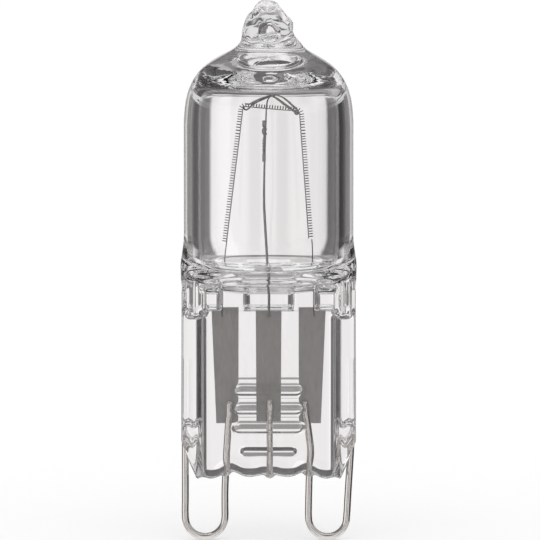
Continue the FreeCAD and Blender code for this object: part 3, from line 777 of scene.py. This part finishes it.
def seal_pads():
    """The raised pads between the channels at the seal's head, with sloping sides."""
    pads = [block("channel_floor", (-5.3, -1.5, WEB_TOP_Z), (5.3, 1.5, 20.3))]
    half = [(1.4, 19.90), (RAIL_DEPTH, 19.98), (2.40, 20.28), (2.62, 20.58)]
    head = half + [(-y, z) for y, z in reversed(half)]
    for low, high in ((-5.4, -3.74), (-1.84, 1.88), (3.68, 5.4)):
        pad = block("pad", (low, -RAIL_DEPTH, WEB_TOP_Z), (high, RAIL_DEPTH, 20.75))
        score(pad, 1.42)
        narrow_end(pad, lambda place: abs(place.y) > 1.6,
                   (1 - 0.66 / (high - low), 1, 1), ((low + high) / 2, 0, 0))
        pads.append(pad)
        pads.append(prism("pad_head", head, "X", low + 0.1, high - 0.1))
    return pads


def head_block(name, crest, low, high):
    """A ridge at a rail's head, steep on its left, over a rounded shelf, in front and behind."""
    section = [(crest - 0.66, 1.9), (crest - 0.66, 2.10), (crest - 0.10, 2.66),
               (crest + 0.06, 2.66), (crest + 0.16, 2.50), (crest + 0.52, 2.44),
               (crest + 0.66, 2.10), (crest + 0.66, 1.9)]
    ridge = prism(name, section + [(x, -y) for x, y in reversed(section)], "Z", 18.4, 21.4)
    shelf = block(name + "_shelf", (low, -2.42, 18.08), (high, 2.42, 18.62))
    round_edges(shelf, 0.24, 4)
    return [ridge, shelf]


def seal_skin():
    """All the pressed forms grown into one skin and fire-polished."""
    rail = seal_rail()
    parts = [rail, mirrored_copy(rail, "rail_left"), shoulder_stub()] + seal_web()
    parts += seal_ribs() + seal_pads()
    parts += head_block("head_block_left", -5.78, -6.50, -4.95)
    parts += head_block("head_block_right", 5.90, 5.15, 6.50)
    # Glass drawn a little way along each wire where it leaves the seal
    parts += [blob("swell_left", (-3.43, 0, 5.95), (0.62, 0.75, 0.90)),
              blob("swell_right", (3.20, 0, 5.92), (0.66, 0.75, 0.88)),
              blob("swell_middle", (0.09, 0, 5.75), (0.55, 0.7, 0.85))]
    skin = merge(parts, "seal_skin")
    apply_modifier(skin, "press", "REMESH", mode="VOXEL", voxel_size=VOXEL)
    select_all(skin)
    bpy.ops.mesh.vertices_smooth(factor=0.5, repeat=4)
    pick(skin, lambda place: place.z > 20.9)
    bpy.ops.mesh.vertices_smooth(factor=0.5, repeat=10)
    # The shoulder ends open at the seam, where the blown tube takes over
    select_all(skin)
    bpy.ops.mesh.bisect(plane_co=(0, 0, SEAM_Z), plane_no=(0, 0, 1), clear_outer=True)
    bpy.ops.object.mode_set(mode="OBJECT")
    return skin


def glass_envelope():
    """One closed outer skin, bridged where the blown tube meets the seal, with both hollows."""
    skin = merge([seal_skin(), blown_skin()], "quartz_glass")
    editing(skin, "EDGE")
    bpy.ops.mesh.select_non_manifold(extend=False, use_wire=False, use_boundary=True,
                                     use_multi_face=False, use_non_contiguous=False,
                                     use_verts=False)
    bpy.ops.mesh.bridge_edge_loops()
    face_outwards(skin)
    glass = merge([skin, cavity_skin(), bubble_skin()], "quartz_glass")
    bpy.ops.object.shade_smooth()
    apply_place(glass, (MM, MM, MM))
    coat(glass, quartz())
    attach(glass, "root")
    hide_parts("quartz_envelope")


# Wires and foils

def wire(name, points, radius, swell=None, handles="AUTO", rows=6, sides=3):
    """A round wire along a curve through points; swell gives its thickness at each of them."""
    bpy.ops.curve.primitive_bezier_curve_add(location=(0, 0, 0))
    piece = named(name)
    curve = piece.data
    knots = curve.splines[0].bezier_points
    knots.add(len(points) - 2)
    for knot, point, thickness in zip(knots, points, swell or [1] * len(points)):
        knot.co = point
        knot.handle_left_type = knot.handle_right_type = handles
        knot.radius = thickness
    curve.resolution_u = rows
    curve.bevel_depth = radius
    curve.bevel_resolution = sides
    curve.use_fill_caps = True
    bpy.ops.object.convert(target="MESH")
    piece = bpy.context.object
    face_outwards(piece)
    bpy.ops.object.shade_smooth_by_angle(angle=math.radians(50))
    return piece


def smooth_blob(name, place, size, segments=24, rings=16):
    """A bead of melted metal."""
    bead = blob(name, place, size, segments, rings)
    bpy.ops.object.shade_smooth()
    return bead


def install(piece, material, node):
    """Brings a finished piece to metres and puts it in its CAD node's place."""
    apply_place(piece, (MM, MM, MM))
    coat(piece, material)
    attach(piece, "root")
    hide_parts(node)


def coil_route():
    """The coil's axis: up one leg, over the rounded corners of the top span, down the other."""
    corners = [Vector((-3.48, 23.9)), Vector((-2.14, 34.76)), Vector((2.58, 34.28)),
               Vector((3.35, 23.9))]
    corner_run = 0.45
    route = [corners[0]]
    for before, corner, after in zip(corners, corners[1:], corners[2:]):
        start = corner + (before - corner).normalized() * corner_run
        end = corner + (after - corner).normalized() * corner_run
        for step in range(9):
            share = step / 8
            route.append(start * (1 - share) ** 2 + corner * 2 * share * (1 - share)
                         + end * share ** 2)
    return route + [corners[-1]]


def coil_points():
    """About 120 turns round the coil's axis; each turn lies flat and then steps up."""
    pitch, around, corners = 0.21, 0.172, 12
    route = coil_route()
    lengths = [(b - a).length for a, b in zip(route, route[1:])]
    turns = int(sum(lengths) / pitch)
    points = []
    part, passed = 0, 0.0
    for count in range(turns * corners):
        turn, share = divmod(count / corners, 1)
        # Three quarters of a turn lie level, and the last quarter climbs to the next
        along = (turn + max(0.0, (share - 0.75) / 0.25)) * pitch
        while part < len(lengths) - 1 and along > passed + lengths[part]:
            passed += lengths[part]
            part += 1
        way = (route[part + 1] - route[part]).normalized()
        middle = route[part] + way * (along - passed)
        angle = 2 * math.pi * (share + 0.125)
        side = Vector((way.y, -way.x)) * math.cos(angle) * around
        back = math.sin(angle) * around
        points.append((middle.x + side.x, WIRE_PLANE + back, middle.y + side.y - back * 0.12))
    return points


def filament():
    """The coil on its two legs and top span, with a straight tail down to each outer foil."""
    coil = wire("coil", coil_points(), COIL_WIRE_R, handles="VECTOR", rows=1, sides=1)
    levels = (24.05, 23.6, 22.6, 21.4, 17.9)
    tails = [wire(name, [(x, WIRE_PLANE, z) for x, z in zip(places, levels)], COIL_WIRE_R,
                  rows=5, sides=2)
             for name, places in (("tail_left", (-3.31, -3.36, -3.52, -3.68, -3.68)),
                                  ("tail_right", (3.42, 3.46, 3.53, 3.59, 3.59)))]
    return merge([coil] + tails, "coiled_filament")


def hook_left():
    """A wire doubled on itself, with an open J round the coil's left end."""
    y = HOOK_PLANE
    long = wire("long", [(0.42, y, 35.92), (0.20, y, 35.78), (-0.42, y, 35.36), (-1.07, y, 34.92),
                         (-1.45, y, 34.56), (-1.66, y + 0.02, 34.36), (-1.80, y + 0.2, 34.30),
                         (-1.95, y + 0.4, 34.40), (-2.02, y + 0.46, 34.62)],
                HOOK_WIRE_R, swell=[1, 1, 1, 0.9, 0.8, 0.7, 0.7, 0.7, 0.5])
    back = wire("back", [(0.40, y + 0.02, 36.0), (0.16, y + 0.03, 35.93), (-0.46, y + 0.03, 35.52),
                         (-1.05, y + 0.03, 35.12), (-1.50, y + 0.10, 34.84),
                         (-1.85, y + 0.2, 34.86)],
                HOOK_WIRE_R, swell=[1, 1, 1, 1, 0.8, 0.6])
    return merge([long, back], "hook_left_wire")


def hook_right():
    """Two arms with light between them, ending in a ball beside the coil's right end."""
    y = HOOK_PLANE
    inner = wire("inner", [(0.18, y, 35.86), (0.36, y, 35.72), (1.03, y, 35.03),
                           (1.66, y, 34.46), (1.98, y + 0.02, 34.22), (2.20, y + 0.1, 34.08)],
                 0.12, swell=[0.8, 0.9, 1, 1, 0.9, 0.7])
    outer = wire("outer", [(0.30, y, 35.94), (0.62, y, 35.95), (0.92, y, 35.76), (1.43, y, 35.22),
                           (1.95, y, 34.62), (2.22, y + 0.04, 34.34), (2.30, y + 0.12, 34.2)],
                 0.095)
    ball = smooth_blob("ball", (2.20, y + 0.06, 34.07), (0.20, 0.20, 0.20), 20, 12)
    bead = smooth_blob("bead", (0.30, y, 35.9), (0.24, 0.2, 0.16), 24, 14)
    return merge([inner, outer, ball, bead], "hook_right_wire")


def stem_splice():
    """A short wire lapped beside the stem: two pinched ends, weld beads and a twist between."""
    y = SPLICE_PLANE
    parts = []
    for low, high in ((32.92, 33.42), (30.24, 30.90)):
        lug = block("lug", (-0.50, y - 0.09, low), (-0.22, y + 0.09, high))
        round_edges(lug, 0.05, 3)
        parts.append(lug)
    for place, size in (((-0.40, y, 32.63), (0.13, 0.12, 0.24)),
                        ((-0.22, y - 0.02, 32.75), (0.1, 0.1, 0.08)),
                        ((-0.22, y - 0.02, 32.45), (0.1, 0.1, 0.08)),
                        ((-0.37, y, 32.13), (0.09, 0.09, 0.11)),
                        ((-0.38, y, 31.02), (0.11, 0.11, 0.12))):
        parts.append(smooth_blob("bead", place, size))
    twist = [(-0.36 + 0.09 * math.cos(1.1 * count), y + 0.09 * math.sin(1.1 * count),
              32.05 - 0.042 * count) for count in range(24)]
    parts.append(wire("twist", twist, SPLICE_WIRE_R, rows=2, sides=2))
    parts.append(wire("core", [(-0.36, y, 33.0), (-0.36, y, 32.2), (-0.38, y, 31.2),
                               (-0.38, y, 30.8)], SPLICE_WIRE_R, rows=3, sides=2))
    return merge(parts, "splice_wire")


def support_stem():
    """From the centre foil up past the coil's top span, leaning forward to the bead."""
    points = [(0.03, WIRE_PLANE, 17.9), (0.03, WIRE_PLANE - 0.02, 19.9),
              (0.01, 0.03, 20.4), (-0.34, -0.09, 26.3), (-0.36, -0.10, 26.9),
              (-0.32, -0.17, 30.28), (-0.22, -0.23, 33.3), (-0.20, -0.24, 33.8),
              (-0.12, -0.29, 35.0), (0.0, HOOK_PLANE, 35.45), (0.24, HOOK_PLANE, 35.86)]
    return wire("stem_wire", points, STEM_WIRE_R, rows=8,
                swell=[1, 1, 1, 1, 0.95, 0.75, 0.65, 0.6, 0.55, 0.55, 0.6])


def pin_loop(name, welded, outer, inner, bend_z, last):
    """A bent contact wire: down its welded leg, round a half circle and up its outer leg."""
    middle, radius = (outer + inner) / 2, abs(inner - outer) / 2
    side = 1 if inner > outer else -1
    points = list(welded)
    for step in range(13):
        turn = math.pi * step / 12
        points.append((middle + side * radius * math.cos(turn), 0,
                       bend_z - radius * math.sin(turn)))
    end = last[0]
    for step in range(1, 4):
        share = step / 4
        points.append((outer + (end[0] - outer) * share, 0, bend_z + (end[2] - bend_z) * share))
    points += last
    # Both its ends are rounded off
    swell = [0.35, 0.8, 1] + [1] * (len(points) - 6) + [1, 0.8, 0.35]
    return wire(name, points, LOOP_WIRE_R, swell=swell, rows=8, sides=6)


def pin_loops():
    """The two contacts; the right one leans out a little more towards its end."""
    left = pin_loop("loop_wire_left",
                    [(-3.04, 0, 11.22), (-3.05, 0, 11.16), (-3.06, 0, 11.02),
                     (-3.10, -0.02, 10.2), (-3.19, 0, 9.2), (-3.25, 0.01, 8.3),
                     (-3.32, 0, 7.2), (-3.37, 0, 6.1), (-3.41, 0, 5.2), (-3.455, 0, 4.0),
                     (-3.46, 0, 2.7)], outer=-6.60, inner=-3.46, bend_z=1.845,
                    last=[(-6.60, 0, 8.1), (-6.60, 0, 8.24), (-6.60, 0, 8.3)])
    right = pin_loop("loop_wire_right",
                     [(2.79, 0, 11.22), (2.80, 0, 11.16), (2.82, 0, 11.02),
                      (2.95, -0.02, 10.2), (3.10, 0, 9.2), (3.22, 0.01, 8.3),
                      (3.33, 0, 7.2), (3.27, 0, 6.1), (3.22, 0, 5.0), (3.19, 0, 3.9),
                      (3.17, 0, 2.9)], outer=6.18, inner=3.17, bend_z=1.78,
                     last=[(6.56, 0, 8.1), (6.58, 0, 8.24), (6.59, 0, 8.3)])
    return left, right


def centre_stub():
    """The short wire on the centre foil, cut off flush with the seal's foot."""
    points = [(0.09, 0, 11.35), (0.09, 0, 11.29), (0.09, 0, 11.12), (0.10, -0.01, 10.0),
              (0.08, 0, 8.6), (0.10, 0.01, 7.2), (0.09, 0, 6.0), (0.09, 0, 5.12),
              (0.09, 0, 4.99), (0.09, 0, 4.95)]
    return wire("stub_wire", points, STUB_WIRE_R, sides=5,
                swell=[0.4, 0.8, 1, 0.97, 1, 0.95, 1, 1, 0.8, 0.4])


# Scene

set_camera()
studio_world()
add_floor()
add_tip_shelf()
scene = bpy.context.scene
scene.view_settings.view_transform = "Standard"
scene.cycles.max_bounces = 24
scene.cycles.transmission_bounces = 24
scene.cycles.glossy_bounces = 12

GRAIN = grain_group()
BY_HEIGHT = height_group()
glass_envelope()
pin_metal = metal("loop_wire", 0.78, 0.16, (0.09, 0.09, 2.5), 0.05, 0.002)
left_loop, right_loop = pin_loops()
install(left_loop, pin_metal, "pin_loop_left")
install(right_loop, pin_metal, "pin_loop_right")
install(centre_stub(), pin_metal, "centre_stub")
dark_metal = metal("dark_wire", 0.28, 0.35, (0.05, 0.05, 0.5), 0.25, 0.006)
tungsten = metal("tungsten_coil", 0.16, 0.45, (0.2, 0.2, 0.2), 0.3, 0.003)
install(filament(), tungsten, "filament")
install(support_stem(), dark_metal, "support_stem")
install(hook_left(), dark_metal, "hook_left")
install(hook_right(), dark_metal, "hook_right")
install(stem_splice(), dark_metal, "stem_splice")
foil = metal("foil_grey", 0.47, 0.5, (0.5, 0.5, 1.6), 0.22, 0.02)
for name in ("foil_left", "foil_centre", "foil_right"):
    coat(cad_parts[name], foil)
